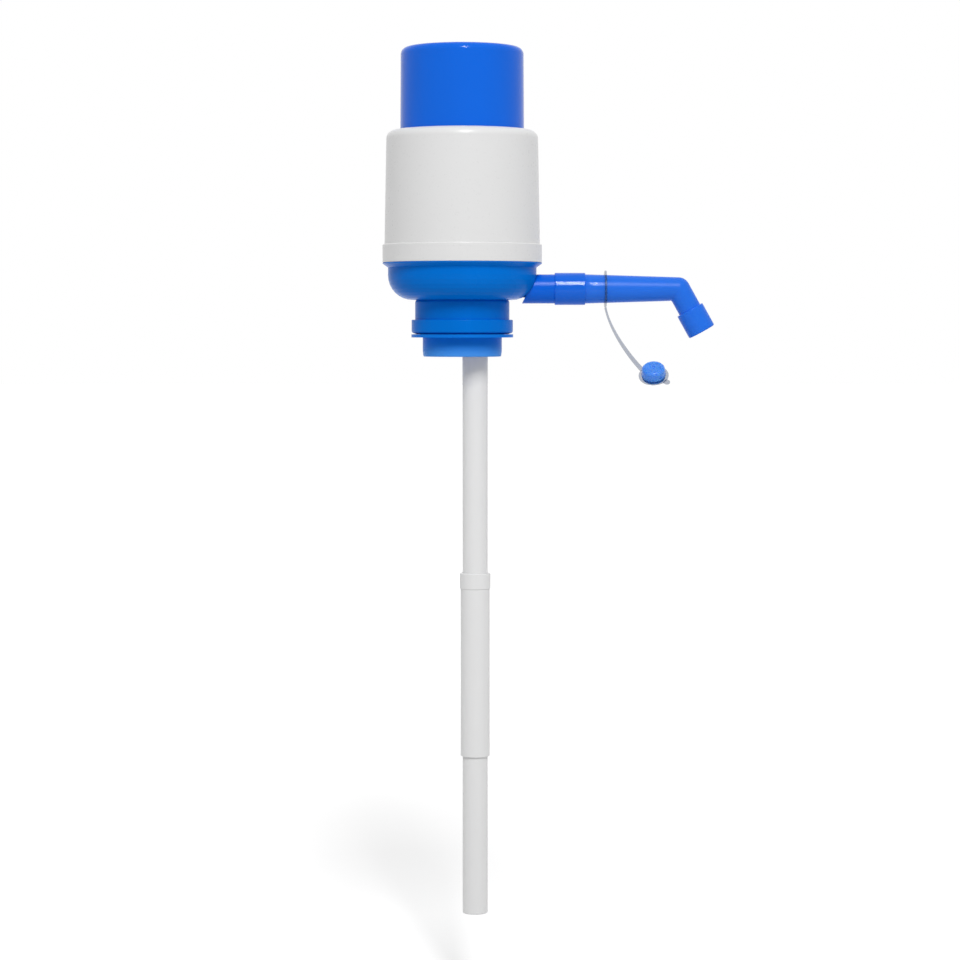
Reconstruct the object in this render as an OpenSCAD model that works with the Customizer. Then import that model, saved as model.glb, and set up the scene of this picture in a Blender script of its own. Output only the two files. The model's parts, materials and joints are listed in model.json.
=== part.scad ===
// Hand pump for a large water bottle. A press cap works a spring-returned bellows,
// which blows air into the bottle through the neck bung. The water then rises up the
// dip tube, turns in the base and leaves by the spout.
//
// Millimetres, +Z up, +X towards the spout. The origin lies on the axis of the bung, on
// the underside of its flange, which is where the pump stands on the bottle's lip.

/* [Housing] */
// Outside diameter of the housing wall at its top
housing_top_d = 77.4; // [75:0.2:79]
// Outside diameter of the housing wall just above its rim band
housing_base_d = 79.6; // [78:0.2:80.6]
// Height of the housing wall above the rim band
housing_h = 58.1; // [52:0.5:66]
// Wall thickness of the housing
housing_wall = 1.8; // [1.2:0.1:2.4]
// Thickness of the housing's top, round the mouth for the cap
housing_top_t = 2.2; // [1.6:0.1:3]
// Radius of the housing's top edge
housing_corner = 4.3; // [2.5:0.1:4.8]
// Outside diameter of the rim band at the housing's foot
rim_d = 81.7; // [81:0.1:84]
// Height of the rim band
rim_h = 9.2; // [7.5:0.1:12]

/* [Press cap] */
// Outside diameter of the cap where it enters the housing
cap_d = 63.3; // [61.5:0.1:64]
// Outside diameter of the cap just under its top edge
cap_top_d = 62.7; // [60.5:0.1:63]
// Height of the cap above the housing at rest
cap_rise = 42.1; // [40.5:0.1:48]
// Wall thickness of the cap
cap_wall = 2; // [1.4:0.1:2.2]
// Thickness of the cap's top
cap_top_t = 2.2; // [1.6:0.1:3]
// Radius of the cap's top edge
cap_corner = 3.7; // [2:0.1:4.6]
// Radial gap between the cap and the housing's mouth
cap_gap = 0.4; // [0.3:0.05:0.8]
// Length of the guide skirt that keeps the cap upright in the housing
cap_guide_h = 12; // [8:0.5:16]

/* [Base] */
// Outside diameter of the bowl
bowl_d = 76.1; // [75.4:0.1:78]
// Height of the bowl, from its underside to the top of its flange
bowl_h = 19.15; // [18:0.05:22]
// Radius of the bowl's lower edge
bowl_corner = 12.5; // [10.5:0.1:13]
// Thickness, at its edge, of the flange that carries the housing
bowl_flange_t = 0.6; // [0.6:0.1:1.8]
// Height of the slope from the flange's edge in to the bowl
bowl_slope_h = 2; // [1.2:0.1:2.4]
// Wall thickness of the base
base_wall = 2; // [1.6:0.1:2.2]
// Outside diameter of the neck skirt under the bowl
skirt_d = 48.4; // [47.6:0.1:50]
// Height of the neck skirt between the bowl and the bead
skirt_h = 10.1; // [9:0.1:13]
// Outside diameter of the bead at the foot of the skirt
bead_d = 52; // [51:0.1:55]
// Height of the bead
bead_h = 6.85; // [6.2:0.05:8]

/* [Neck bung] */
// Outside diameter of the bung that enters the bottle's neck
bung_d = 40.6; // [39.6:0.1:41.4]
// Length of the bung below its flange
bung_len = 9.8; // [9:0.1:14]
// Outside diameter of the bung's flange
bung_flange_d = 52.2; // [51:0.1:55]
// Thickness of the bung's flange
bung_flange_t = 1.6; // [1.2:0.1:2.4]
// Wall thickness of the bung
bung_wall = 2; // [1.6:0.1:2.2]
// Gap that shows between the bung's flange and the bead's edge
bead_gap = 0.6; // [0.5:0.1:1.5]

/* [Dip tube] */
// Outside diameter of the dip tubes
tube_d = 13; // [12:0.1:13.4]
// Wall thickness of the dip tubes
tube_wall = 1.2; // [0.8:0.1:1.5]
// Distance of the dip tube from the bung's axis, towards the spout
tube_offset = 6.6; // [5.6:0.1:7.4]
// Length of each dip tube
tube_len = 152; // [140:1:170]
// Outside diameter of the sleeve that joins the two tubes
sleeve_d = 15.1; // [14.7:0.1:16]
// Outside diameter of the lip at the sleeve's top
sleeve_lip_d = 15.9; // [15.5:0.1:17]
// Height of the lip at the sleeve's top
sleeve_lip_h = 7.8; // [5:0.1:12]
// Length of the sleeve
sleeve_len = 95; // [92:0.5:110]
// Length of the upper tube inside the sleeve
upper_insert = 16; // [12:0.5:17]
// Length of the lower tube inside the sleeve
lower_insert = 70; // [60:0.5:71]

/* [Outlet and spout] */
// Height of the spout's axis above the bowl's underside
outlet_rise = 5.65; // [5.4:0.05:6.5]
// Outside diameter of the outlet tube
outlet_d = 14.9; // [14:0.1:15]
// Distance from the bung's axis to the near end of the coupler
coupler_x = 47.3; // [46.5:0.1:52]
// Outside diameter of the coupler
coupler_d = 16.5; // [16.3:0.1:18]
// Length of the coupler
coupler_len = 15.7; // [15:0.1:20]
// Outside diameter of the spout next to the coupler
spout_root_d = 15; // [14.6:0.1:15.6]
// Outside diameter of the spout at its elbow
spout_end_d = 12; // [11.6:0.1:12.8]
// Distance from the coupler's far end to the centre of the elbow
spout_reach = 47.8; // [46:0.1:60]
// Angle of the spout's leg below the horizontal
leg_angle = 61; // [50:1:65]
// Length of the leg, from the elbow's centre to the tip
leg_len = 25; // [24:0.1:32]
// Outside diameter of the collar at the spout's tip
tip_d = 14.6; // [13.8:0.1:15.4]
// Length of the collar at the spout's tip
tip_len = 12.8; // [11:0.1:14]
// Bore of the tip, which takes the stopper
tip_bore_d = 11.8; // [11.2:0.1:12]
// Depth of the tip's bore
tip_bore_len = 8; // [6.5:0.5:9]

/* [Stopper and tether] */
// Distance from the coupler's far end to the tether's ring
ring_reach = 10.4; // [8:0.1:14]
// Outside diameter of the tether's ring
ring_d = 18.9; // [18:0.1:21]
// Thickness of the tether
tether_t = 1.1; // [0.8:0.1:1.4]
// Width of the tether's strap
strap_w = 2.5; // [2:0.1:3.2]
// Outside diameter of the flange round the stopper
stopper_flange_d = 15.4; // [15:0.1:16.4]
// Height of the stopper above its flange
stopper_h = 5; // [4.2:0.1:5.8]
// Wall thickness of the hollow stopper
stopper_wall = 1.3; // [1:0.1:1.6]
// Tilt of the stopper towards the front
stopper_tilt = 37; // [30:1:42]

/* [Bellows and spring] */
// Outside diameter of the bellows
bellows_d = 56; // [54:0.2:56.4]
// Depth of each fold of the bellows
fold_depth = 5.4; // [4:0.1:5.8]
// Number of folds
folds = 11; // [9:1:13]
// Wall thickness of the bellows
bellows_wall = 0.9; // [0.7:0.1:1.1]
// Mean diameter of the return spring
spring_d = 25; // [24.4:0.2:26]
// Diameter of the spring's wire
wire_d = 1.6; // [1.2:0.1:1.8]
// Number of turns of the spring
spring_turns = 11; // [8:1:14]

/* [Hidden] */

$fn = 96;

// Fits: what is pushed together, what runs, and what has to stay clear while it moves
push_gap = 0.1;
run_gap = 0.06;
clear_gap = 0.4;
seal_gap = 0.01;
cut_margin = 1;
arc_steps = 8;
step_taper = 0.6;

cap_blue = "#1a63dc";
base_blue = "#0a66c4";
spout_blue = "#2c6fe6";
shell_white = "#dedede";
tube_white = "#e2e2e2";
frost_clear = "#c4cbd8";
valve_grey = "#5b6066";
steel = "#b9bcc0";

// Levels from the bottle's lip upwards
z_bead = bung_flange_t + bead_gap;
z_skirt = z_bead + bead_h;
z_bowl = z_skirt + skirt_h;
z_rim = z_bowl + bowl_h;
z_shoulder = z_rim + rim_h;
z_top = z_shoulder + housing_h;
z_cap = z_top + cap_rise;
z_out = z_bowl + outlet_rise;

// Housing and the spigot of the base inside its foot
rim_r = rim_d / 2;
rim_wall = 2.85;
housing_in_r = housing_base_d / 2 - housing_wall;
foot_in_r = rim_r - rim_wall;
foot_step = foot_in_r - housing_in_r;
has_foot_step = abs(foot_step) > 0.01;
z_foot_step = z_shoulder - (has_foot_step ? sign(foot_step) * housing_wall : 0);
spigot_r = foot_in_r - push_gap;
spigot_in_r = spigot_r - base_wall;
spigot_h = 6.5;
mouth_r = cap_d / 2 + cap_gap;
edge_round = 0.5;
housing_corner_r = min(housing_corner, housing_top_d / 2 - mouth_r - edge_round);
housing_in_corner_r = housing_corner_r - housing_wall;

// Cap
cap_r = cap_d / 2;
cap_in_r = cap_top_d / 2 - cap_wall;
cap_flange_t = 2;
cap_guide_r = housing_top_d / 2 - housing_wall - clear_gap;
z_cap_flange = z_top - housing_top_t - clear_gap;

// Valve plate on the ledge inside the bowl
plate_t = 3.6;
plate_r = spigot_in_r - push_gap;
ledge_drop = 2;
ledge_w = 2.6;
ledge_t = 2;
ledge_slope = 1;
z_ledge = z_rim - ledge_drop;
z_plate = z_ledge + plate_t;
seal_r = 0.85;
seal_groove_h = 2 * seal_r + 2 * push_gap;
plate_groove_r = spigot_in_r - 2 * seal_r - 2 * seal_gap;

// Screws
screw_r = 1.4;
screw_head_r = 2.6;
screw_head_h = 1.6;
boss_r = 2.8;
boss_h = 9;
boss_drop = 0.5;
clamp_screw_count = 4;
clamp_screw_circle_r = plate_r - screw_head_r - clear_gap;
head_screw_count = 3;
head_screw_circle_r = 17;
slot_w = 0.6;
slot_depth = 0.7;

// Bellows head under the cap
head_gap = 4;
head_t = 4;
head_groove_h = bellows_wall + 2 * push_gap;
head_groove_depth = 2;
z_head_top = z_cap - cap_top_t - head_gap;
z_head = z_head_top - head_t;
bellows_r = bellows_d / 2;
head_r = bellows_r - fold_depth / 2;
head_groove_r = head_r - head_groove_depth;
z_head_groove = z_head + (head_t - head_groove_h) / 2;

// Bellows
foot_t = 1;
foot_gap = 0.2;
foot_r = clamp_screw_circle_r - screw_head_r - foot_gap;
clamp_t = 1.6;
z_clamp = z_plate + foot_t + clamp_t;
z_fold_0 = z_clamp + clear_gap;
z_fold_1 = z_head - clear_gap;
fold_pitch = (z_fold_1 - z_fold_0) / folds;

// Spring and the hub that centres it
spring_r = spring_d / 2;
wire_r = wire_d / 2;
hub_r = spring_r - wire_r - clear_gap;
hub_wall = 1.5;
hub_h = 4;
wire_sides = 6;
wire_steps = 20;
closed_turns = 1;

// Umbrella valves: a disc under the plate, a stem through it and a bulb on top
valve_r = 8.2;
valve_t = 1;
valve_edge_t = 0.5;
valve_stem_r = 1.5;
valve_bulb_r = 2.3;
valve_bulb_h = 2.4;
valve_bulb_edge = 0.5;
valve_tip_r = 1;
valve_hub = 0.6;
valve_hub_slope = 1;
air_hole_r = 1.3;
air_hole_circle_r = 5.6;
air_holes = 6;

// Neck of the base and the bung's spigot inside it
neck_wall = 2.7;
neck_in_r = skirt_d / 2 - neck_wall;
spigot_bung_r = neck_in_r - push_gap;
bung_r = bung_d / 2;
bung_spigot_h = 6.4;
bung_lead = 2.8;
bung_lead_inset = 0.3;
bung_floor_t = 2;
z_bung_floor = -1.4;
z_bung_seal = bung_flange_t + bung_spigot_h / 2 + 0.6;
bung_groove_r = neck_in_r - 2 * seal_r - 2 * seal_gap;
bung_hole_r = 2.6;
bung_hole_circle_r = 12.6;
bung_hole_first = 110;
bung_hole_step = 35;
bung_holes = 5;
shoulder_round = 2;
shoulder_angle = 50;
shoulder_drop = shoulder_round * sin(shoulder_angle);
bead_round = 1.1;
seat_inset = 2.4;
seat_r = bead_d / 2 - seat_inset;
z_seat = bung_flange_t + push_gap;

// Water passage inside the base
tube_r = tube_d / 2;
tube_in_r = tube_r - tube_wall;
socket_r = tube_r + run_gap;
socket_boss_r = tube_r + 3.4;
z_socket = bung_flange_t + 1.4;
z_tube_top = z_out - 10;
z_tube_seal = z_socket + 2.2;
tube_seal_r = 0.9;
riser_r = 4.2;
riser_boss_r = 5.9;
channel_r = 3.2;
stub_r = 4.4;
stub_end_x = coupler_x - 1.3;
rib_t = 2;
z_rib = bung_flange_t + bung_spigot_h + clear_gap;
z_rib_top = z_out - stub_r + 0.8;
root_depth = 0.4;

// Dip tubes and their sleeve
sleeve_bore_r = tube_r + run_gap;
z_upper_end = z_tube_top - tube_len;
z_sleeve_top = z_upper_end + upper_insert;
z_sleeve_end = z_sleeve_top - sleeve_len;
z_lower_top = z_sleeve_end + lower_insert;
z_lower_end = z_lower_top - tube_len;
stop_t = 1;
stop_w = 0.8;
tube_edge = 0.5;

// Outlet tube, with its near end cut back to clear the round of the bowl
outlet_r = outlet_d / 2;
outlet_bore_r = stub_r + push_gap;
outlet_cut_angle = 63;
outlet_foot_x = 30.6;
outlet_end_x = coupler_x + coupler_len / 2 - 0.2;
coupler_bore_r = outlet_r + run_gap;
coupler_end_x = coupler_x + coupler_len;
coupler_round = 0.4;

// Spout: a spigot in the coupler, a tapered arm, a round elbow and a straight leg
spout_root_r = spout_root_d / 2;
spout_end_r = spout_end_d / 2;
elbow_x = coupler_end_x + spout_reach;
spigot_x = outlet_end_x + clear_gap;
spout_start_x = coupler_end_x + 0.2;
spout_bore_root_r = 5;
spout_bore_r = 4.6;
elbow_swell = 0.06;
spout_seal_r = 0.7;
spout_seal_x = (spigot_x + coupler_end_x) / 2;
spout_groove_w = 2 * spout_seal_r + 2 * push_gap;
spout_groove_r = coupler_bore_r - 2 * spout_seal_r - 2 * seal_gap;
tip_r = tip_d / 2;
tip_bore_r = tip_bore_d / 2;
tip_round = 0.7;

// Tether and stopper as they hang
ring_x = coupler_end_x + ring_reach;
ring_r = ring_d / 2;
ring_bore_r = spout_r(ring_x - tether_t / 2) + run_gap;
stopper_lean = -5;
tab_turn = -46;
stopper_drop = [24.9, 0, -44.8];
stopper_pos = [ring_x, 0, z_out] + stopper_drop;
stopper_flange_r = stopper_flange_d / 2;
stopper_r = tip_bore_r + 0.4;
stopper_nose_r = tip_bore_r - 0.15;
stopper_neck_r = stopper_r - 1.2;
stopper_lip_r = stopper_r - 0.4;
stopper_lip_t = 0.8;
stopper_round = 0.9;
tab_w = 3;
tab_len = 1.6;
strap_joint_gap = 0.5;
strap_steps = 28;
strap_head_pull = [2.6, 0, -13.1];
strap_tail_pull = [-4, 4.1, 4];

function spout_r(x) = spout_root_r
    + (spout_end_r - spout_root_r) * (x - coupler_end_x) / (elbow_x - coupler_end_x);

// Points of a circular arc about (cx, cz), from angle a0 to angle a1
function arc(cx, cz, r, a0, a1) = [
    for (i = [0 : arc_steps])
        let (a = a0 + (a1 - a0) * i / arc_steps)
        [cx + r * cos(a), cz + r * sin(a)]
];

function unit(v) = v / norm(v);

// A direction in the stopper's own frame, turned as the stopper hangs
function hung(v) =
    let (
        y = v[1] * cos(stopper_tilt) - v[2] * sin(stopper_tilt),
        z = v[1] * sin(stopper_tilt) + v[2] * cos(stopper_tilt)
    )
    [v[0] * cos(stopper_lean) + z * sin(stopper_lean), y, z * cos(stopper_lean) - v[0] * sin(stopper_lean)];

tab_dir = hung([cos(tab_turn), sin(tab_turn), 0]);
strap_side_end = hung([-sin(tab_turn), cos(tab_turn), 0]);
strap_start = [ring_x, 0, z_out - ring_r - strap_joint_gap];
strap_end = stopper_pos + hung([0, 0, tether_t / 2]) - (stopper_flange_r + strap_joint_gap) * tab_dir;
strap_knots = [strap_start, strap_start + strap_head_pull, strap_end + strap_tail_pull, strap_end];

function strap_point(t) = pow(1 - t, 3) * strap_knots[0] + 3 * pow(1 - t, 2) * t * strap_knots[1]
    + 3 * (1 - t) * t * t * strap_knots[2] + pow(t, 3) * strap_knots[3];
function strap_tangent(t) = unit(pow(1 - t, 2) * (strap_knots[1] - strap_knots[0])
    + 2 * (1 - t) * t * (strap_knots[2] - strap_knots[1]) + t * t * (strap_knots[3] - strap_knots[2]));
function strap_side(t) =
    let (
        blend = unit((1 - t) * [0, 1, 0] + t * strap_side_end),
        along = strap_tangent(t)
    )
    unit(blend - (blend * along) * along);

// Four corners of the strap's cross-section at t
function strap_section(t) =
    let (
        side = strap_side(t) * strap_w / 2,
        up = cross(strap_tangent(t), strap_side(t)) * tether_t / 2,
        p = strap_point(t)
    )
    [p + side + up, p - side + up, p - side - up, p + side - up];

// Height of the spring's wire after u turns, with closed turns at both ends
closed_h = closed_turns * wire_d * 1.05;
z_wire_0 = z_plate + wire_r + seal_gap;
z_wire_1 = z_head - wire_r - seal_gap;
open_pitch = (z_wire_1 - z_wire_0 - 2 * closed_h) / (spring_turns - 2 * closed_turns);
function wire_z(u) = u < closed_turns ? z_wire_0 + closed_h * u / closed_turns
    : u > spring_turns - closed_turns ? z_wire_1 - closed_h * (spring_turns - u) / closed_turns
    : z_wire_0 + closed_h + open_pitch * (u - closed_turns);

// Bellows fold points: in and out by half a pitch at a time
function fold_r(i) = bellows_r - (i % 2 == 0 ? fold_depth : 0);
fold_count = 2 * folds;
bellows_skin = [for (i = [0 : fold_count]) [fold_r(i), z_fold_0 + i * fold_pitch / 2]];
bellows_lining = [for (i = [fold_count : -1 : 0]) [fold_r(i) - bellows_wall, z_fold_0 + i * fold_pitch / 2]];

// A closed tube of triangles through rings of points, each ring with the same number of points
module swept(rings) {
    sides = len(rings[0]);
    last = len(rings) - 1;
    walls = [
        for (i = [0 : last - 1], j = [0 : sides - 1])
            let (
                a = i * sides + j,
                b = i * sides + (j + 1) % sides
            )
            each [[a, b, b + sides], [a, b + sides, a + sides]]
    ];
    start = [[for (j = [sides - 1 : -1 : 0]) j]];
    finish = [[for (j = [0 : sides - 1]) last * sides + j]];
    polyhedron(points = [for (ring = rings) each ring], faces = concat(walls, start, finish));
}

module lathe(points) {
    rotate_extrude() polygon(points);
}

module seal_ring(outer_r, section_r) {
    rotate_extrude() translate([outer_r - section_r, 0]) circle(r = section_r, $fn = 48);
}

// A cylinder along +X from x0 to x1, on the spout's axis
module along_x(x0, x1, r0, r1) {
    translate([x0, 0, z_out]) rotate([0, 90, 0]) cylinder(h = x1 - x0, r1 = r0, r2 = r1);
}

module on_circle(count, radius, first = 0) {
    for (i = [0 : count - 1]) rotate(first + i * 360 / count) translate([radius, 0, 0]) children();
}

// Screw with its head under z = 0 and its shank above, or the other way up
module screw(length) {
    difference() {
        union() {
            cylinder(h = length, r = screw_r);
            translate([0, 0, -screw_head_h]) cylinder(h = screw_head_h, r = screw_head_r);
        }
        for (turn = [0, 90]) {
            rotate(turn) translate([-screw_head_r / 2, -slot_w / 2, -screw_head_h - cut_margin])
                cube([screw_head_r, slot_w, slot_depth + cut_margin]);
        }
    }
}

// Umbrella valve under a plate of thickness t whose underside is at z = 0
module umbrella_valve(t) {
    lathe([
        [0, -valve_t - valve_hub], [valve_stem_r, -valve_t - valve_hub],
        [valve_stem_r + valve_hub_slope, -valve_t], [valve_r, -valve_edge_t], [valve_r, 0],
        [valve_stem_r, 0], [valve_stem_r, t], [valve_bulb_r, t], [valve_bulb_r, t + valve_bulb_edge],
        [valve_tip_r, t + valve_bulb_h], [0, t + valve_bulb_h]
    ]);
}

module valve_holes(t) {
    translate([0, 0, -cut_margin]) cylinder(h = t + 2 * cut_margin, r = valve_stem_r + push_gap);
    on_circle(air_holes, air_hole_circle_r)
        translate([0, 0, -cut_margin]) cylinder(h = t + 2 * cut_margin, r = air_hole_r);
}

// Outside of the bowl, grown by a gap, to cut back what is fitted against it
module bowl_envelope(gap) {
    lathe(concat(
        [[0, z_bowl - gap], [bowl_d / 2 - bowl_corner, z_bowl - gap]],
        arc(bowl_d / 2 - bowl_corner, z_bowl + bowl_corner, bowl_corner + gap, -90, 0),
        [[bowl_d / 2 + gap, z_rim], [0, z_rim]]
    ));
}

module press_cap() {
    z_skirt_end = z_cap_flange - cap_guide_h;
    guide_in_r = cap_guide_r - cap_wall;
    in_corner = housing_in_corner_r;
    color(cap_blue) difference() {
        union() {
            lathe(concat(
                [[0, z_cap]],
                arc(cap_top_d / 2 - cap_corner, z_cap - cap_corner, cap_corner, 90, 0),
                [[cap_r, z_top], [cap_r, z_cap_flange]],
                arc(cap_guide_r - in_corner, z_cap_flange - in_corner, in_corner, 90, 0),
                [
                    [cap_guide_r, z_skirt_end], [guide_in_r, z_skirt_end],
                    [guide_in_r, z_cap_flange - cap_flange_t], [cap_in_r, z_cap_flange - cap_flange_t]
                ],
                arc(cap_in_r - cap_corner / 2, z_cap - cap_top_t - cap_corner / 2, cap_corner / 2, 0, 90),
                [[0, z_cap - cap_top_t]]
            ));
            on_circle(head_screw_count, head_screw_circle_r)
                translate([0, 0, z_head_top]) cylinder(h = head_gap + cap_top_t / 2, r = boss_r);
        }
        on_circle(head_screw_count, head_screw_circle_r)
            translate([0, 0, z_head_top - cut_margin]) cylinder(h = head_gap + cut_margin, r = screw_r + run_gap);
    }
}

module bellows_head() {
    color(shell_white) difference() {
        lathe([
            [0, z_head], [head_r, z_head], [head_r, z_head_groove], [head_groove_r, z_head_groove],
            [head_groove_r, z_head_groove + head_groove_h], [head_r, z_head_groove + head_groove_h],
            [head_r, z_head_top], [0, z_head_top]
        ]);
        translate([0, 0, z_head]) valve_holes(head_t);
        on_circle(head_screw_count, head_screw_circle_r)
            translate([0, 0, z_head - cut_margin]) cylinder(h = head_t + 2 * cut_margin, r = screw_r + run_gap);
    }
}

module intake_valve() {
    color(valve_grey) translate([0, 0, z_head]) umbrella_valve(head_t);
}

module head_screws() {
    color(steel) on_circle(head_screw_count, head_screw_circle_r)
        translate([0, 0, z_head]) screw(head_t + head_gap - clear_gap);
}

module bellows() {
    lip_z = z_head_groove + push_gap;
    lip_r = head_groove_r + push_gap;
    root_in_r = fold_r(0) - bellows_wall;
    collar_in_r = head_r + push_gap;
    collar_step = 0.2;
    color(frost_clear) lathe(concat(
        [
            [root_in_r, z_plate], [foot_r, z_plate],
            [foot_r, z_plate + foot_t], [fold_r(0), z_plate + foot_t]
        ],
        bellows_skin,
        [
            [collar_in_r, z_fold_1], [collar_in_r + bellows_wall, z_fold_1],
            [collar_in_r + bellows_wall, lip_z + bellows_wall], [lip_r, lip_z + bellows_wall],
            [lip_r, lip_z], [collar_in_r, lip_z], [collar_in_r, z_fold_1 + collar_step],
            [root_in_r, z_fold_1 + collar_step]
        ],
        bellows_lining
    ));
}

module return_spring() {
    steps = spring_turns * wire_steps;
    color(steel) swept([
        for (i = [0 : steps])
            let (u = i / wire_steps, a = 360 * u)
            [
                for (j = [0 : wire_sides - 1])
                    let (b = -360 * j / wire_sides, r = spring_r + wire_r * cos(b))
                    [r * cos(a), r * sin(a), wire_z(u) + wire_r * sin(b)]
            ]
    ]);
}

module outer_housing() {
    top_r = housing_top_d / 2;
    base_r = housing_base_d / 2;
    in_corner = housing_in_corner_r;
    color(shell_white) lathe(concat(
        [[mouth_r, z_top]],
        arc(top_r - housing_corner_r, z_top - housing_corner_r, housing_corner_r, 90, 0),
        [[base_r, z_shoulder]],
        arc(rim_r - edge_round, z_shoulder - edge_round, edge_round, 90, 0),
        [[rim_r, z_rim], [foot_in_r, z_rim], [foot_in_r, z_foot_step]],
        has_foot_step ? [[housing_in_r, z_foot_step]] : [],
        arc(top_r - housing_wall - in_corner, z_top - housing_top_t - in_corner, in_corner, 0, 90),
        [[mouth_r, z_top - housing_top_t]]
    ));
}

module base_shell() {
    bowl_r = bowl_d / 2;
    skirt_r = skirt_d / 2;
    in_corner = bowl_corner - base_wall;
    ledge_r = spigot_in_r - ledge_w;
    lathe(concat(
        [[spigot_in_r, z_rim + spigot_h], [spigot_r, z_rim + spigot_h], [spigot_r, z_rim]],
        arc(rim_r - edge_round, z_rim - edge_round, edge_round, 90, 0),
        [[rim_r, z_rim - bowl_flange_t], [bowl_r, z_rim - bowl_flange_t - bowl_slope_h]],
        arc(bowl_r - bowl_corner, z_bowl + bowl_corner, bowl_corner, 0, -90),
        arc(skirt_r - shoulder_round, z_bowl - shoulder_drop, shoulder_round, shoulder_angle, 0),
        [[skirt_r, z_skirt]],
        arc(bead_d / 2 - edge_round, z_skirt - edge_round, edge_round, 90, 0),
        arc(bead_d / 2 - bead_round, z_bead + bead_round, bead_round, 0, -90),
        [[seat_r, z_seat], [neck_in_r, z_seat], [neck_in_r, z_bowl + base_wall]],
        arc(bowl_r - bowl_corner, z_bowl + bowl_corner, in_corner, -90, 0),
        [
            [bowl_r - base_wall, z_ledge - ledge_t - ledge_slope], [ledge_r, z_ledge - ledge_t],
            [ledge_r, z_ledge], [spigot_in_r, z_ledge]
        ]
    ));
}

// Riser, channel and stub that carry the water from the dip tube to the outlet
module water_passage_body() {
    translate([tube_offset, 0, z_socket]) cylinder(h = z_tube_top + base_wall - z_socket, r = socket_boss_r);
    translate([tube_offset, 0, z_socket]) cylinder(h = z_out - z_socket + riser_boss_r, r = riser_boss_r);
    along_x(tube_offset, stub_end_x, stub_r, stub_r);
    intersection() {
        for (turn = [0, 90])
            translate([tube_offset, 0, z_rib]) rotate(turn)
                translate([-skirt_d, -rib_t / 2, 0]) cube([2 * skirt_d, rib_t, z_rib_top - z_rib]);
        cylinder(h = z_out, r = neck_in_r + root_depth);
    }
}

module water_passage_bore() {
    translate([tube_offset, 0, z_socket - cut_margin])
        cylinder(h = z_tube_top - z_socket + cut_margin, r = socket_r);
    translate([tube_offset, 0, z_tube_top - cut_margin])
        cylinder(h = z_out - z_tube_top + channel_r + cut_margin + root_depth, r = riser_r);
    translate([tube_offset, 0, z_tube_seal - tube_seal_r - push_gap])
        cylinder(h = 2 * tube_seal_r + 2 * push_gap, r = tube_r + 2 * tube_seal_r + 2 * seal_gap);
    along_x(tube_offset, stub_end_x + cut_margin, channel_r, channel_r);
}

module base_bowl() {
    color(base_blue) difference() {
        union() {
            base_shell();
            water_passage_body();
            on_circle(clamp_screw_count, clamp_screw_circle_r, 45)
                translate([0, 0, z_ledge - boss_h]) cylinder(h = boss_h - boss_drop, r = boss_r);
        }
        water_passage_bore();
        on_circle(clamp_screw_count, clamp_screw_circle_r, 45)
            translate([0, 0, z_ledge - boss_h + base_wall]) cylinder(h = boss_h, r = screw_r + run_gap);
    }
}

module valve_plate() {
    groove_z = z_ledge + (plate_t - seal_groove_h) / 2;
    color(shell_white) difference() {
        union() {
            lathe([
                [0, z_ledge], [plate_r, z_ledge], [plate_r, groove_z], [plate_groove_r, groove_z],
                [plate_groove_r, groove_z + seal_groove_h], [plate_r, groove_z + seal_groove_h],
                [plate_r, z_plate], [0, z_plate]
            ]);
            translate([0, 0, z_ledge]) difference() {
                cylinder(h = plate_t + hub_h, r = hub_r);
                translate([0, 0, plate_t]) cylinder(h = hub_h + cut_margin, r = hub_r - hub_wall);
            }
        }
        translate([0, 0, z_ledge]) valve_holes(plate_t);
        on_circle(clamp_screw_count, clamp_screw_circle_r, 45)
            translate([0, 0, z_ledge - cut_margin]) cylinder(h = plate_t + 2 * cut_margin, r = screw_r + run_gap);
    }
}

module delivery_valve() {
    color(valve_grey) translate([0, 0, z_ledge]) umbrella_valve(plate_t);
}

module plate_seal() {
    color(valve_grey) translate([0, 0, z_ledge + plate_t / 2]) seal_ring(spigot_in_r - seal_gap, seal_r);
}

module bellows_clamp() {
    inner_r = fold_r(0) + clear_gap;
    outer_r = plate_r - push_gap;
    color(shell_white) difference() {
        lathe([
            [foot_r + push_gap, z_plate], [outer_r, z_plate], [outer_r, z_clamp], [inner_r, z_clamp],
            [inner_r, z_plate + foot_t], [foot_r + push_gap, z_plate + foot_t]
        ]);
        on_circle(clamp_screw_count, clamp_screw_circle_r, 45)
            translate([0, 0, z_plate - cut_margin])
                cylinder(h = z_clamp - z_plate + 2 * cut_margin, r = screw_r + run_gap);
    }
}

module clamp_screws() {
    length = z_clamp - z_ledge + boss_h - base_wall - clear_gap;
    color(steel) on_circle(clamp_screw_count, clamp_screw_circle_r, 45)
        translate([0, 0, z_clamp]) mirror([0, 0, 1]) screw(length);
}

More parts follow.
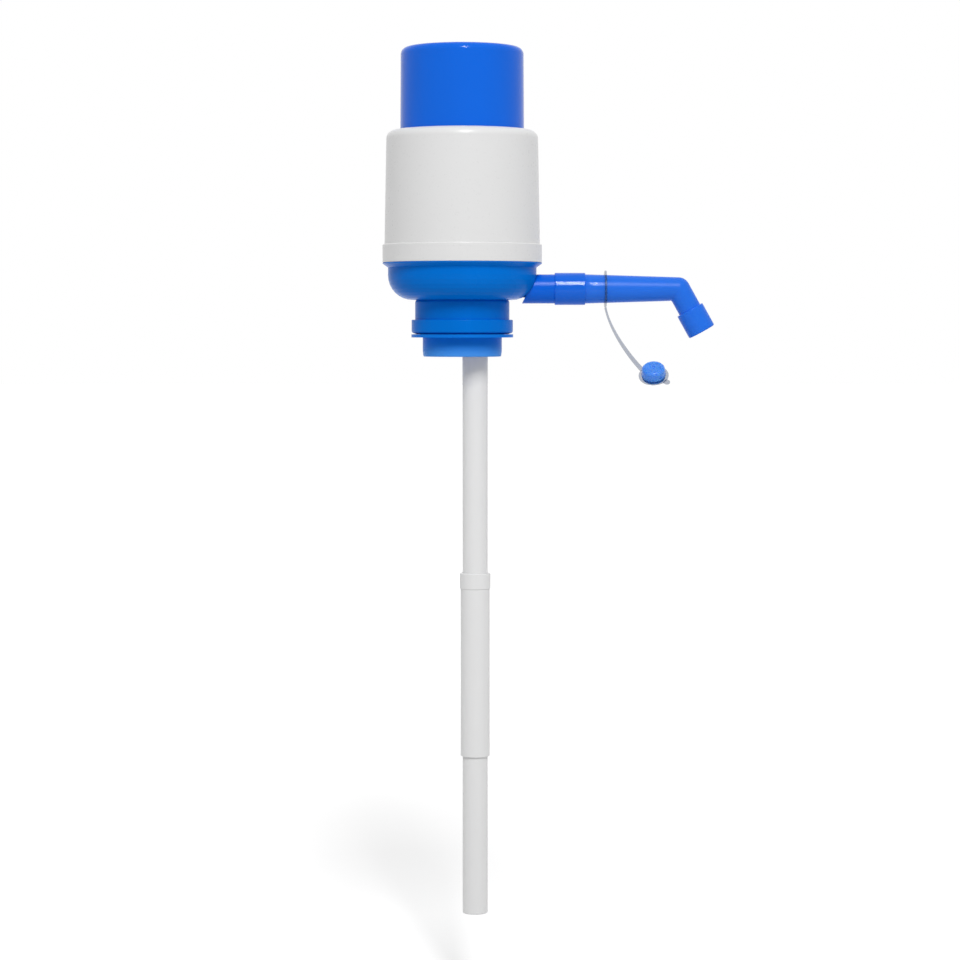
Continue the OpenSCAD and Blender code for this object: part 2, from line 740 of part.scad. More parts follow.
module neck_bung() {
    z_spigot = bung_flange_t + bung_spigot_h;
    z_groove = z_bung_seal - seal_groove_h / 2;
    lead_r = bung_r - bung_lead_inset;
    in_r = bung_r - bung_wall;
    color(spout_blue) difference() {
        union() {
            lathe(concat(
                [[in_r, -bung_len]],
                arc(lead_r - edge_round, -bung_len + edge_round, edge_round, -90, 0),
                [
                    [bung_r, -bung_len + bung_lead], [bung_r, 0],
                    [bung_flange_d / 2, 0], [bung_flange_d / 2, bung_flange_t],
                    [spigot_bung_r, bung_flange_t], [spigot_bung_r, z_groove], [bung_groove_r, z_groove],
                    [bung_groove_r, z_groove + seal_groove_h], [spigot_bung_r, z_groove + seal_groove_h],
                    [spigot_bung_r, z_spigot], [in_r, z_spigot]
                ]
            ));
            translate([0, 0, z_bung_floor]) cylinder(h = bung_floor_t, r = in_r + bung_wall / 2);
            translate([tube_offset, 0, z_bung_floor])
                cylinder(h = z_socket - clear_gap - z_bung_floor, r = tube_r + bung_wall);
        }
        translate([tube_offset, 0, -bung_len]) cylinder(h = bung_len + z_spigot, r = socket_r);
        for (i = [0 : bung_holes - 1])
            rotate(bung_hole_first + i * bung_hole_step)
                translate([bung_hole_circle_r, 0, -bung_len]) cylinder(h = bung_len + z_spigot, r = bung_hole_r);
    }
}

module bung_seal() {
    color(valve_grey) translate([0, 0, z_bung_seal]) seal_ring(neck_in_r - seal_gap, seal_r);
}

module tube_seal() {
    color(valve_grey) translate([tube_offset, 0, z_tube_seal])
        seal_ring(tube_r + 2 * tube_seal_r + seal_gap, tube_seal_r);
}

// Dip tube of the full length, hanging down from z = 0, with its lower edge rounded
module dip_tube() {
    lathe(concat(
        [[tube_in_r, -tube_len]],
        arc(tube_r - tube_edge, -tube_len + tube_edge, tube_edge, -90, 0),
        [[tube_r, 0], [tube_in_r, 0]]
    ));
}

module upper_tube() {
    color(tube_white) translate([tube_offset, 0, z_tube_top]) dip_tube();
}

module tube_sleeve() {
    lip_r = sleeve_lip_d / 2;
    z_stop = -upper_insert - stop_t - push_gap;
    color(tube_white) translate([tube_offset, 0, z_sleeve_top]) lathe(concat(
        [[sleeve_bore_r, 0]],
        arc(lip_r - edge_round, -edge_round, edge_round, 90, 0),
        [
            [lip_r, -sleeve_lip_h], [sleeve_d / 2, -sleeve_lip_h - step_taper], [sleeve_d / 2, -sleeve_len],
            [sleeve_bore_r, -sleeve_len], [sleeve_bore_r, z_stop],
            [sleeve_bore_r - stop_w, z_stop], [sleeve_bore_r - stop_w, z_stop + stop_t],
            [sleeve_bore_r, z_stop + stop_t]
        ]
    ));
}

module lower_tube() {
    color(tube_white) translate([tube_offset, 0, z_lower_top]) dip_tube();
}

module outlet_tube() {
    color(spout_blue) difference() {
        along_x(outlet_foot_x, outlet_end_x, outlet_r, outlet_r);
        along_x(outlet_foot_x - cut_margin, outlet_end_x + cut_margin, outlet_bore_r, outlet_bore_r);
        bowl_envelope(push_gap);
        translate([outlet_foot_x, 0, z_out - outlet_r]) rotate([0, 90 - outlet_cut_angle, 0])
            translate([-outlet_d, -outlet_d, -outlet_d]) cube([outlet_d, 2 * outlet_d, 3 * outlet_d]);
    }
}

module spout_coupler() {
    color(spout_blue) translate([coupler_x, 0, z_out]) rotate([0, 90, 0]) lathe(concat(
        [[coupler_bore_r, 0]],
        arc(coupler_d / 2 - coupler_round, coupler_round, coupler_round, -90, 0),
        arc(coupler_d / 2 - coupler_round, coupler_len - coupler_round, coupler_round, 0, 90),
        [[coupler_bore_r, coupler_len]]
    ));
}

// Places its children along the spout's leg, with z = 0 at the elbow's centre
module on_leg() {
    translate([elbow_x, 0, z_out]) rotate([0, 90 + leg_angle, 0]) children();
}

module spout() {
    color(spout_blue) difference() {
        union() {
            along_x(spigot_x, spout_start_x + cut_margin, outlet_r, outlet_r);
            along_x(spout_start_x, elbow_x, spout_root_r, spout_end_r);
            translate([elbow_x, 0, z_out]) sphere(r = spout_end_r + elbow_swell);
            on_leg() cylinder(h = leg_len - tip_len / 2, r = spout_end_r);
            on_leg() lathe(concat(
                [[0, leg_len]],
                arc(tip_r - tip_round, leg_len - tip_round, tip_round, 90, 0),
                arc(tip_r - tip_round / 2, leg_len - tip_len + tip_round / 2, tip_round / 2, 0, -90),
                [[0, leg_len - tip_len]]
            ));
        }
        along_x(spigot_x - cut_margin, elbow_x, spout_bore_root_r, spout_bore_r);
        translate([elbow_x, 0, z_out]) sphere(r = spout_bore_r + elbow_swell);
        on_leg() cylinder(h = leg_len, r = spout_bore_r);
        on_leg() translate([0, 0, leg_len - tip_bore_len]) cylinder(h = tip_bore_len + cut_margin, r = tip_bore_r);
        translate([spout_seal_x - spout_groove_w / 2, 0, z_out]) rotate([0, 90, 0]) difference() {
            cylinder(h = spout_groove_w, r = outlet_r + cut_margin);
            translate([0, 0, -cut_margin]) cylinder(h = spout_groove_w + 2 * cut_margin, r = spout_groove_r);
        }
    }
}

module spout_seal() {
    color(valve_grey) translate([spout_seal_x, 0, z_out]) rotate([0, 90, 0])
        seal_ring(coupler_bore_r - seal_gap, spout_seal_r);
}

module tether_ring() {
    color(frost_clear) translate([ring_x - tether_t / 2, 0, z_out]) rotate([0, 90, 0]) difference() {
        cylinder(h = tether_t, r = ring_r);
        translate([0, 0, -cut_margin]) cylinder(h = tether_t + 2 * cut_margin, r = ring_bore_r);
    }
}

module tether_strap() {
    color(frost_clear) swept([for (i = [0 : strap_steps]) strap_section(i / strap_steps)]);
}

// Places its children as the stopper hangs, with z = 0 on the underside of its flange
module hanging() {
    translate(stopper_pos) rotate([stopper_tilt, stopper_lean, 0]) children();
}

module stopper_flange() {
    color(frost_clear) hanging() difference() {
        union() {
            cylinder(h = tether_t, r = stopper_flange_r);
            rotate(tab_turn) {
                translate([0, -tab_w / 2, 0]) cube([stopper_flange_r + tab_len, tab_w, tether_t]);
                translate([stopper_flange_r + tab_len, 0, 0]) cylinder(h = tether_t, r = tab_w / 2);
            }
        }
        translate([0, 0, -cut_margin]) cylinder(h = tether_t + 2 * cut_margin, r = stopper_neck_r + push_gap);
    }
}

module stopper() {
    z_nose = tether_t + stopper_h;
    hollow_r = stopper_neck_r - stopper_wall;
    color(spout_blue) hanging() lathe(concat(
        [[hollow_r, -stopper_lip_t], [stopper_lip_r, -stopper_lip_t], [stopper_lip_r, 0], [stopper_neck_r, 0]],
        [[stopper_neck_r, tether_t], [stopper_r, tether_t]],
        arc(stopper_nose_r - stopper_round, z_nose - stopper_round, stopper_round, 0, 90),
        [[0, z_nose], [0, z_nose - stopper_wall], [hollow_r, z_nose - stopper_wall]]
    ));
}

press_cap();
bellows_head();
intake_valve();
head_screws();
bellows();
return_spring();
outer_housing();
base_bowl();
valve_plate();
delivery_valve();
plate_seal();
bellows_clamp();
clamp_screws();
neck_bung();
bung_seal();
tube_seal();
upper_tube();
tube_sleeve();
lower_tube();
outlet_tube();
spout_coupler();
spout();
spout_seal();
tether_ring();
tether_strap();
stopper_flange();
stopper();
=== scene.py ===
"""Looks of a hand pump for a large water bottle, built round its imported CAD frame.

Lengths below are millimetres and angles are degrees, as in the CAD source, in the same frame:
+Z up, +X towards the spout, origin on the bung's axis under its flange.
"""

import json
import math

import bmesh
import bpy
from mathutils import Matrix, Vector


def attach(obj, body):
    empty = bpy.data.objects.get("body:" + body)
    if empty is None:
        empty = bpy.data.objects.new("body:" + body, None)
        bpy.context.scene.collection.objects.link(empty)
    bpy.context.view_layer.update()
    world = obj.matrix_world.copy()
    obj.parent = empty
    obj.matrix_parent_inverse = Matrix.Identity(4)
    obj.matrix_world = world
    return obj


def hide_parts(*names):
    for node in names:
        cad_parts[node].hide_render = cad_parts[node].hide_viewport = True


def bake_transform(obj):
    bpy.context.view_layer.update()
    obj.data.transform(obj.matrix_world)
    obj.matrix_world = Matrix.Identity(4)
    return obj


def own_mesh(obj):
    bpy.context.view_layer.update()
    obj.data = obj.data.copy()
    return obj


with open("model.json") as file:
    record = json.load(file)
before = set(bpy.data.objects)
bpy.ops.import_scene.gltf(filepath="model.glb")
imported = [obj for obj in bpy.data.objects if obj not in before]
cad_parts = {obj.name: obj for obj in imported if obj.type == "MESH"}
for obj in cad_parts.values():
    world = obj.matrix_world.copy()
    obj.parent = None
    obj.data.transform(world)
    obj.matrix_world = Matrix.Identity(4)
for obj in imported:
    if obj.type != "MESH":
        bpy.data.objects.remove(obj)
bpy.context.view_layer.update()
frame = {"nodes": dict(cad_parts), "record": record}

MM = 0.001
SIDES = 144

# Sizes of the CAD part that the pieces follow
CAP_TOP, CAP_FOOT, CAP_R, CAP_TOP_R, CAP_CORNER = 147.7, 105.6, 31.65, 31.35, 3.7
HOUSING_TOP, SHOULDER, RIM = 105.6, 47.5, 38.3
HOUSING_TOP_R, HOUSING_BASE_R, HOUSING_CORNER, MOUTH_R = 38.7, 39.8, 4.3, 32.05
RIM_R, HOUSING_WALL, HOUSING_TOP_T = 40.83, 1.8, 2.2
OUTLET_Z = 24.8
OUTLET_R = 7.45
COUPLER_X, COUPLER_END, COUPLER_R, COUPLER_BORE = 47.3, 63.0, 8.25, 7.51
ELBOW_X, ROOT_R, END_R, LEG_ANGLE, LEG_LEN = 110.8, 7.5, 6.0, 61.0, 25.0
TIP_R, TIP_LEN, TIP_BORE_R, TIP_BORE_LEN, BORE_R = 7.29, 12.8, 5.9, 8.0, 4.6
TUBE_X, TUBE_R, TUBE_IN_R = 6.6, 6.5, 5.3
UPPER_TOP, UPPER_END, LOWER_TOP, LOWER_END = 14.8, -137.2, -146.2, -298.2
SLEEVE_TOP, SLEEVE_END, SLEEVE_R, SLEEVE_LIP_R, SLEEVE_BORE_R = -121.2, -216.2, 7.55, 7.95, 6.56
RING_X, RING_R, TETHER_T = 73.4, 9.45, 1.1
STRAP_W = 2.5
STOPPER_AT, STOPPER_TILT, STOPPER_LEAN, TAB_TURN = (98.3, 0.0, -20.0), 37.0, -5.0, -46.0
FLANGE_R, STOPPER_R, NOSE_R, STOPPER_H = 7.7, 6.3, 5.75, 5.0
PLATE_Z, HEAD_Z = 39.9, 137.5
TUBE_DROP = 54.0  # how far the lower tube draws out, which the floor leaves room for

# Light: the world in front and behind, what it gains overhead, the key lamp in watts, the
# floor's darkest and lightest paper, and what lifts the floor to white near and far
AROUND, ABOVE, KEY_POWER = (0.20, 0.96), (0.0, 0.06), 39.0
FLOOR_PAPER, FLOOR_LIFT = (0.70, 0.72), (0.42, 0.75)


# ---------------------------------------------------------------- materials


def nodes_of(material):
    material.use_nodes = True
    tree = material.node_tree
    return tree, tree.nodes["Principled BSDF"]


def noise(tree, coordinates, scale, detail=2.0, stretch=(1, 1, 1)):
    """Noise in the piece's own coordinates, in metres, stretched along its axes."""
    mapping = tree.nodes.new("ShaderNodeMapping")
    mapping.inputs["Scale"].default_value = stretch
    tree.links.new(coordinates, mapping.inputs["Vector"])
    texture = tree.nodes.new("ShaderNodeTexNoise")
    texture.inputs["Scale"].default_value = scale
    texture.inputs["Detail"].default_value = detail
    tree.links.new(mapping.outputs["Vector"], texture.inputs["Vector"])
    return texture.outputs["Fac"]


def combine(tree, operation, first, second):
    node = tree.nodes.new("ShaderNodeMath")
    node.operation = operation
    tree.links.new(first, node.inputs[0])
    tree.links.new(second, node.inputs[1])
    return node.outputs[0]


def remap(tree, value, low, high, from_low=0.2, from_high=0.8):
    node = tree.nodes.new("ShaderNodeMapRange")
    node.interpolation_type = "SMOOTHSTEP"
    ends = {"From Min": from_low, "From Max": from_high, "To Min": low, "To Max": high}
    for name, number in ends.items():
        node.inputs[name].default_value = number
    tree.links.new(value, node.inputs["Value"])
    return node.outputs["Result"]


def shade(tree, value, dark, light):
    """Colour between two shades, by value."""
    mix = tree.nodes.new("ShaderNodeMix")
    mix.data_type = "RGBA"
    mix.inputs["A"].default_value = (*dark, 1)
    mix.inputs["B"].default_value = (*light, 1)
    tree.links.new(value, mix.inputs["Factor"])
    return mix.outputs["Result"]


def blended(tree, value, colour, other):
    """A colour that passes into another socket's colour, by value."""
    mix = tree.nodes.new("ShaderNodeMix")
    mix.data_type = "RGBA"
    mix.inputs["A"].default_value = (*colour, 1)
    tree.links.new(value, mix.inputs["Factor"])
    tree.links.new(other, mix.inputs["B"])
    return mix.outputs["Result"]


def bump(tree, heights, shader):
    """Bump from several (height, strength, depth in mm) in turn."""
    normal = None
    for height, strength, depth in heights:
        node = tree.nodes.new("ShaderNodeBump")
        node.inputs["Strength"].default_value = strength
        node.inputs["Distance"].default_value = depth * MM
        tree.links.new(height, node.inputs["Height"])
        if normal is not None:
            tree.links.new(normal, node.inputs["Normal"])
        normal = node.outputs["Normal"]
    tree.links.new(normal, shader.inputs["Normal"])


def moulded(
    name, colour, roughness, gloss, vary=0.05, grain=0.08, flow=(1, 1, 0.25), glow=0.0, foot=None,
    dents=0.1, polish=None, spread=0.12, patch=38.0,
):
    """Moulded plastic: a little unevenness in colour and gloss, fine grain and shallow sink marks.

    foot is (colour, low, high) in mm: painted light, a colour that turns paler towards the foot, standing in
    for light through thin plastic and from below.
    polish is (roughness, near, far) in mm along X, for a polished root.
    spread is the share by which the roughness varies either way, and patch the unevenness' scale."""
    material = bpy.data.materials.new(name)
    tree, shader = nodes_of(material)
    place = tree.nodes.new("ShaderNodeTexCoord").outputs["Object"]
    broad = noise(tree, place, patch, 3.0, flow)
    fine = noise(tree, place, 2600.0, 2.0)
    sink = noise(tree, place, 55.0, 1.0)
    dark = [c * (1 - vary) for c in colour]
    light = [min(1.0, c * (1 + vary)) for c in colour]
    skin = shade(tree, remap(tree, broad, 0, 1), dark, light)
    rough = remap(tree, broad, roughness * (1 - spread), roughness * (1 + spread))
    split = tree.nodes.new("ShaderNodeSeparateXYZ")
    tree.links.new(place, split.inputs["Vector"])
    # Painted light: the colour turns paler towards the foot, by height.
    if foot:
        pale, low, high = foot
        skin = blended(tree, remap(tree, split.outputs["Z"], 0, 1, low * MM, high * MM), pale, skin)
    if polish:
        finest, near, far = polish
        share = remap(tree, split.outputs["X"], finest / roughness, 1, near * MM, far * MM)
        rough = combine(tree, "MULTIPLY", rough, share)
    tree.links.new(skin, shader.inputs["Base Color"])
    tree.links.new(rough, shader.inputs["Roughness"])
    bump(tree, [(sink, dents, 0.25), (fine, grain, 0.03)], shader)
    shader.inputs["IOR"].default_value = 1.46
    shader.inputs["Specular IOR Level"].default_value = gloss
    if glow:
        shader.inputs["Subsurface Weight"].default_value = glow
        shader.inputs["Subsurface Radius"].default_value = (0.4, 0.7, 1.0)
        shader.inputs["Subsurface Scale"].default_value = 0.003
    return material


def frosted(name, colour, roughness, clear=0.0, alpha=1.0):
    """Clear soft plastic with a frosted skin."""
    material = bpy.data.materials.new(name)
    tree, shader = nodes_of(material)
    place = tree.nodes.new("ShaderNodeTexCoord").outputs["Object"]
    broad = noise(tree, place, 160.0, 3.0)
    fine = noise(tree, place, 3200.0, 2.0)
    dark = [c * 0.93 for c in colour]
    tree.links.new(shade(tree, remap(tree, broad, 0, 1), dark, colour), shader.inputs["Base Color"])
    tree.links.new(remap(tree, broad, roughness * 0.8, roughness * 1.25), shader.inputs["Roughness"])
    bump(tree, [(fine, 0.06, 0.01)], shader)
    shader.inputs["Transmission Weight"].default_value = clear
    shader.inputs["Alpha"].default_value = alpha
    shader.inputs["IOR"].default_value = 1.45
    return material


def rubber(name, colour):
    material = bpy.data.materials.new(name)
    tree, shader = nodes_of(material)
    place = tree.nodes.new("ShaderNodeTexCoord").outputs["Object"]
    dust = noise(tree, place, 420.0, 4.0)
    fine = noise(tree, place, 3600.0, 2.0)
    pale = [min(1.0, c * 1.25 + 0.01) for c in colour]
    tree.links.new(shade(tree, remap(tree, dust, 0, 1), colour, pale), shader.inputs["Base Color"])
    tree.links.new(remap(tree, dust, 0.55, 0.72), shader.inputs["Roughness"])
    bump(tree, [(fine, 0.2, 0.03)], shader)
    return material


def turned_steel(name, colour):
    """Drawn or turned stainless steel, with faint lines along its axis."""
    material = bpy.data.materials.new(name)
    tree, shader = nodes_of(material)
    place = tree.nodes.new("ShaderNodeTexCoord").outputs["Object"]
    lines = noise(tree, place, 900.0, 3.0, (1, 1, 6))
    patches = noise(tree, place, 240.0, 2.0)
    dark = [c * 0.9 for c in colour]
    tree.links.new(shade(tree, remap(tree, patches, 0, 1), dark, colour), shader.inputs["Base Color"])
    tree.links.new(remap(tree, lines, 0.22, 0.36), shader.inputs["Roughness"])
    bump(tree, [(lines, 0.1, 0.02)], shader)
    shader.inputs["Metallic"].default_value = 1.0
    return material


MATERIALS = {
    "cap_blue": moulded("cap_plastic", (0.003, 0.130, 0.72), 0.14, 0.13, 0.03, 0.02, dents=0.04),
    "base_blue": moulded("base_plastic", (0.000, 0.160, 0.64), 0.26, 0.05, 0.04, 0.03, dents=0.05),
    "bung_blue": moulded(
        "bung_plastic", (0.002, 0.175, 0.70), 0.34, 0.07, vary=0.05, glow=0.12,
        # Painted light: the bung's colour turns paler towards its foot, for light through its thin wall and
        # from below.
        foot=((0.060, 0.290, 0.82), -9.8, -2.0),
    ),
    "spout_blue": moulded(
        "spout_plastic", (0.018, 0.160, 0.76), 0.30, 0.14, vary=0.04, flow=(0.25, 1, 1), glow=0.10,
        polish=(0.11, 68.0, 75.0), dents=0.02,
    ),
    "coupler_blue": moulded("coupler_plastic", (0.001, 0.125, 0.70), 0.13, 0.20, 0.03, 0.0, dents=0.01),
    "housing_white": moulded(
        "housing_plastic", (0.75, 0.75, 0.75), 0.28, 0.4, 0.003, 0.04, flow=(1, 1, 1), dents=0.03,
        spread=0.03, patch=900.0,
    ),
    "tube_white": moulded("tube_plastic", (0.79, 0.79, 0.79), 0.42, 0.4, vary=0.02, flow=(1, 1, 0.05)),
    "tether_clear": frosted("tether_plastic", (0.02, 0.08, 0.22), 0.25, alpha=0.36),
    "bellows_plastic": frosted("bellows_plastic", (0.78, 0.80, 0.84), 0.4, clear=0.5),
    "inner_white": moulded("inner_plastic", (0.70, 0.70, 0.70), 0.38, 0.4, vary=0.02),
    "valve_rubber": rubber("valve_rubber", (0.075, 0.08, 0.09)),
    "steel": turned_steel("stainless_steel", (0.62, 0.63, 0.65)),
}
OUTLET_PLASTIC = moulded("outlet_plastic", (0.001, 0.120, 0.67), 0.22, 0.12, vary=0.03, grain=0.02)
# Painted light: a lighter copy of the spout's blue for the stopper, whose nose faces up into the light.
STOPPER_LIT_PLASTIC = moulded("stopper_plastic_painted_light", (0.075, 0.275, 0.83), 0.24, 0.3, vary=0.05, glow=0.7)


# ---------------------------------------------------------------- mesh tools


def rounded(corners, steps=5):
    """Closed outline through (r, z) or (r, z, fillet) corners, each fillet drawn as an arc."""
    points = []
    for i, corner in enumerate(corners):
        here, fillet = Vector(corner[:2]), corner[2] if len(corner) > 2 else 0
        if not fillet:
            points.append(tuple(here))
            continue
        back = (Vector(corners[i - 1][:2]) - here).normalized()
        ahead = (Vector(corners[(i + 1) % len(corners)][:2]) - here).normalized()
        half = back.angle(ahead) / 2
        centre = here + (back + ahead).normalized() * fillet / math.sin(half)
        first = here + back * fillet / math.tan(half) - centre
        last = here + ahead * fillet / math.tan(half) - centre
        turn = first.angle_signed(last)
        for k in range(steps + 1):
            a = -turn * k / steps
            c, s = math.cos(a), math.sin(a)
            points.append((centre.x + first.x * c - first.y * s, centre.y + first.x * s + first.y * c))
    return points


def held_flat(outline, closed, margin=0.12, shortest=1.2):
    """The outline with a point just inside each end of its long lines, so that they shade flat."""
    points = [Vector(p) for p in outline]
    held = []
    for i, start in enumerate(points):
        held.append(tuple(start))
        if i + 1 == len(points) and not closed:
            break
        line = points[(i + 1) % len(points)] - start
        if line.length > shortest:
            step = line.normalized() * margin
            held += [tuple(start + step), tuple(start + line - step)]
    return held


def lathe(outline, sides=SIDES, closed=True):
    """Outline of (r, z) turned about +Z. A point at r = 0 becomes one vertex on the axis."""
    outline = held_flat(outline, closed)
    mesh = bmesh.new()
    turns = [2 * math.pi * i / sides for i in range(sides)]
    rings = []
    for r, z in outline:
        if abs(r) < 1e-6:
            rings.append([mesh.verts.new((0, 0, z * MM))])
        else:
            ring = [(r * MM * math.cos(a), r * MM * math.sin(a), z * MM) for a in turns]
            rings.append([mesh.verts.new(corner) for corner in ring])
    for low, high in zip(rings, rings[1:] + (rings[:1] if closed else [])):
        if len(low) == 1 and len(high) == 1:
            continue
        for i in range(sides):
            j = (i + 1) % sides
            corners = [low[i % len(low)], low[j % len(low)], high[j % len(high)], high[i % len(high)]]
            mesh.faces.new(list(dict.fromkeys(corners)))
    return mesh


def through(rings, closed_ends=True):
    """Skin through rings of points in mm, each ring with as many points, and flat ends."""
    mesh = bmesh.new()
    made = [[mesh.verts.new(Vector(p) * MM) for p in ring] for ring in rings]
    for low, high in zip(made, made[1:]):
        for i in range(len(low)):
            j = (i + 1) % len(low)
            mesh.faces.new((low[i], low[j], high[j], high[i]))
    if closed_ends:
        mesh.faces.new(reversed(made[0]))
        mesh.faces.new(made[-1])
    return mesh


def along_x(x0, z=OUTLET_Z):
    """Turns +Z into +X, with z = 0 at x0 on the spout's axis."""
    return Matrix.Translation((x0 * MM, 0, z * MM)) @ Matrix.Rotation(math.pi / 2, 4, "Y")


def piece(name, mesh, slot, body, stands_for=(), place=None, sharp=32, material=None):
    """A finished piece from a bmesh: shaded, with its material, on its body."""
    if place is not None:
        mesh.transform(place)
    bmesh.ops.remove_doubles(mesh, verts=mesh.verts, dist=1e-7)
    bmesh.ops.recalc_face_normals(mesh, faces=mesh.faces)
    for face in mesh.faces:
        face.smooth = True
    for edge in mesh.edges:
        if len(edge.link_faces) == 2 and edge.calc_face_angle(0) > math.radians(sharp):
            edge.smooth = False
    data = bpy.data.meshes.new(name)
    mesh.to_mesh(data)
    mesh.free()
    data.materials.append(material or MATERIALS[slot])
    made = bpy.data.objects.new(name, data)
    bpy.context.scene.collection.objects.link(made)
    if body:
        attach(made, body)
    if stands_for:
        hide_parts(*([stands_for] if isinstance(stands_for, str) else stands_for))
    return made


# ---------------------------------------------------------------- camera, light and stage


def make_camera():
    """Camera fitted to the photograph: just above the bung, tilted down a little."""
    data = bpy.data.cameras.new("camera")
    data.lens, data.sensor_width = 102.17, 36.0
    data.clip_start, data.clip_end = 0.05, 60.0
    camera = bpy.data.objects.new("camera", data)
    camera.location = (0.0091, -1.4, 0.00635)
    camera.rotation_euler = (math.radians(90 - 3.256), 0, 0)
    bpy.context.scene.collection.objects.link(camera)
    bpy.context.scene.camera = camera


def area_light(name, azimuth, elevation, distance, width, height, power, target=(0, 0, 0.06)):
    """Soft box at an angle round the object, seen from the camera's side, that faces target."""
    a, e = math.radians(azimuth), math.radians(elevation)
    back = Vector((math.sin(a) * math.cos(e), -math.cos(a) * math.cos(e), math.sin(e)))
    data = bpy.data.lights.new(name, "AREA")
    data.shape, data.size, data.size_y, data.energy = "RECTANGLE", width, height, power
    lamp = bpy.data.objects.new(name, data)
    lamp.location = Vector(target) + back * distance
    lamp.rotation_mode = "QUATERNION"
    lamp.rotation_quaternion = back.to_track_quat("Z", "Y")
    bpy.context.scene.collection.objects.link(lamp)


def background_rays(tree):
    """1 for the rays that see the white background: camera, glossy and transmission rays."""
    path = tree.nodes.new("ShaderNodeLightPath")
    value = path.outputs["Is Camera Ray"]
    for name in ("Is Glossy Ray", "Is Transmission Ray"):
        value = combine(tree, "MAXIMUM", value, path.outputs[name])
    return value


def make_world():
    """White background. The light on the object comes more from the sides and behind than in front."""
    world = bpy.data.worlds.new("studio")
    world.use_nodes = True
    tree = world.node_tree
    tree.nodes.clear()
    out = tree.nodes.new("ShaderNodeOutputWorld")
    seen, lit = tree.nodes.new("ShaderNodeBackground"), tree.nodes.new("ShaderNodeBackground")
    seen.inputs["Color"].default_value = (1, 1, 1, 1)
    direction = tree.nodes.new("ShaderNodeTexCoord").outputs["Generated"]
    split = tree.nodes.new("ShaderNodeSeparateXYZ")
    tree.links.new(direction, split.inputs["Vector"])
    around = remap(tree, split.outputs["Y"], *AROUND, -1.0, 0.6)
    above = remap(tree, split.outputs["Z"], *ABOVE, 0.0, 1.0)
    tree.links.new(combine(tree, "ADD", around, above), lit.inputs["Strength"])
    mix = tree.nodes.new("ShaderNodeMixShader")
    tree.links.new(background_rays(tree), mix.inputs["Fac"])
    tree.links.new(lit.outputs[0], mix.inputs[1])
    tree.links.new(seen.outputs[0], mix.inputs[2])
    tree.links.new(mix.outputs[0], out.inputs["Surface"])
    bpy.context.scene.world = world


def make_floor():
    """Plain white floor under the drawn-out dip tube, darker only in the object's shadow."""
    mesh = bmesh.new()
    bmesh.ops.create_grid(mesh, x_segments=8, y_segments=8, size=15.0)
    data = bpy.data.meshes.new("floor")
    mesh.to_mesh(data)
    mesh.free()
    material = bpy.data.materials.new("floor_paper")
    material.use_nodes = True
    tree = material.node_tree
    tree.nodes.remove(tree.nodes["Principled BSDF"])
    place = tree.nodes.new("ShaderNodeTexCoord").outputs["Object"]
    paper, glow = tree.nodes.new("ShaderNodeBsdfDiffuse"), tree.nodes.new("ShaderNodeEmission")
    tint = shade(tree, noise(tree, place, 3.0), *[(c, c, c) for c in FLOOR_PAPER])
    tree.links.new(tint, paper.inputs["Color"])
    distance = tree.nodes.new("ShaderNodeVectorMath")
    distance.operation = "LENGTH"
    tree.links.new(place, distance.inputs[0])
    far = remap(tree, distance.outputs["Value"], *FLOOR_LIFT, 0.3, 1.5)
    tree.links.new(combine(tree, "MULTIPLY", far, background_rays(tree)), glow.inputs["Strength"])
    both = tree.nodes.new("ShaderNodeAddShader")
    tree.links.new(paper.outputs[0], both.inputs[0])
    tree.links.new(glow.outputs[0], both.inputs[1])
    tree.links.new(both.outputs[0], tree.nodes["Material Output"].inputs["Surface"])
    data.materials.append(material)
    floor = bpy.data.objects.new("floor", data)
    floor.location = (0, 0, (LOWER_END - TUBE_DROP - 0.4) * MM)
    bpy.context.scene.collection.objects.link(floor)


def make_studio():
    make_world()
    make_floor()
    area_light("key", 6, 40, 2.4, 0.26, 1.00, KEY_POWER)
    scene = bpy.context.scene
    scene.view_settings.view_transform = "Standard"


# ---------------------------------------------------------------- pump head


def make_cap():
    guide_r, guide_foot = 36.5, 91.0
    in_r, roof, flange_low = 29.35, CAP_TOP - 2.2, 101.0
    outline = [(0, CAP_TOP - 0.35), (0.9, CAP_TOP - 0.35), (1.2, CAP_TOP - 0.08)]
    outline += rounded(
        [
            (1.2, CAP_TOP - 0.08), (26.0, CAP_TOP), (CAP_TOP_R, CAP_TOP, CAP_CORNER), (CAP_R, CAP_FOOT),
            (CAP_R, 103.0, 0.4), (guide_r, 103.0, 2.5), (guide_r, guide_foot, 0.3),
            (guide_r - 2.0, guide_foot, 0.3), (guide_r - 2.0, flange_low, 0.4), (in_r, flange_low, 0.3),
            (in_r, roof, 1.5), (1.2, roof),
        ],
        8,
    )[1:]
    outline += [(0, roof)]
    piece("cap_shell", lathe(outline, closed=False), "cap_blue", "press_cap", "press_cap")


def make_housing():
    in_r = HOUSING_BASE_R - HOUSING_WALL
    top_in = HOUSING_TOP - HOUSING_TOP_T
    outline = rounded(
        [
            (MOUTH_R, HOUSING_TOP, 0.35), (HOUSING_TOP_R, HOUSING_TOP, HOUSING_CORNER),
            (HOUSING_BASE_R, SHOULDER, 0.25), (RIM_R, SHOULDER, 0.45), (RIM_R, RIM, 0.25), (in_r, RIM, 0.2),
            (in_r, SHOULDER), (HOUSING_TOP_R - HOUSING_WALL, top_in, 2.5), (MOUTH_R, top_in, 0.3),
        ],
        8,
    )
    piece("housing_shell", lathe(outline), "housing_white", "base", "outer_housing")


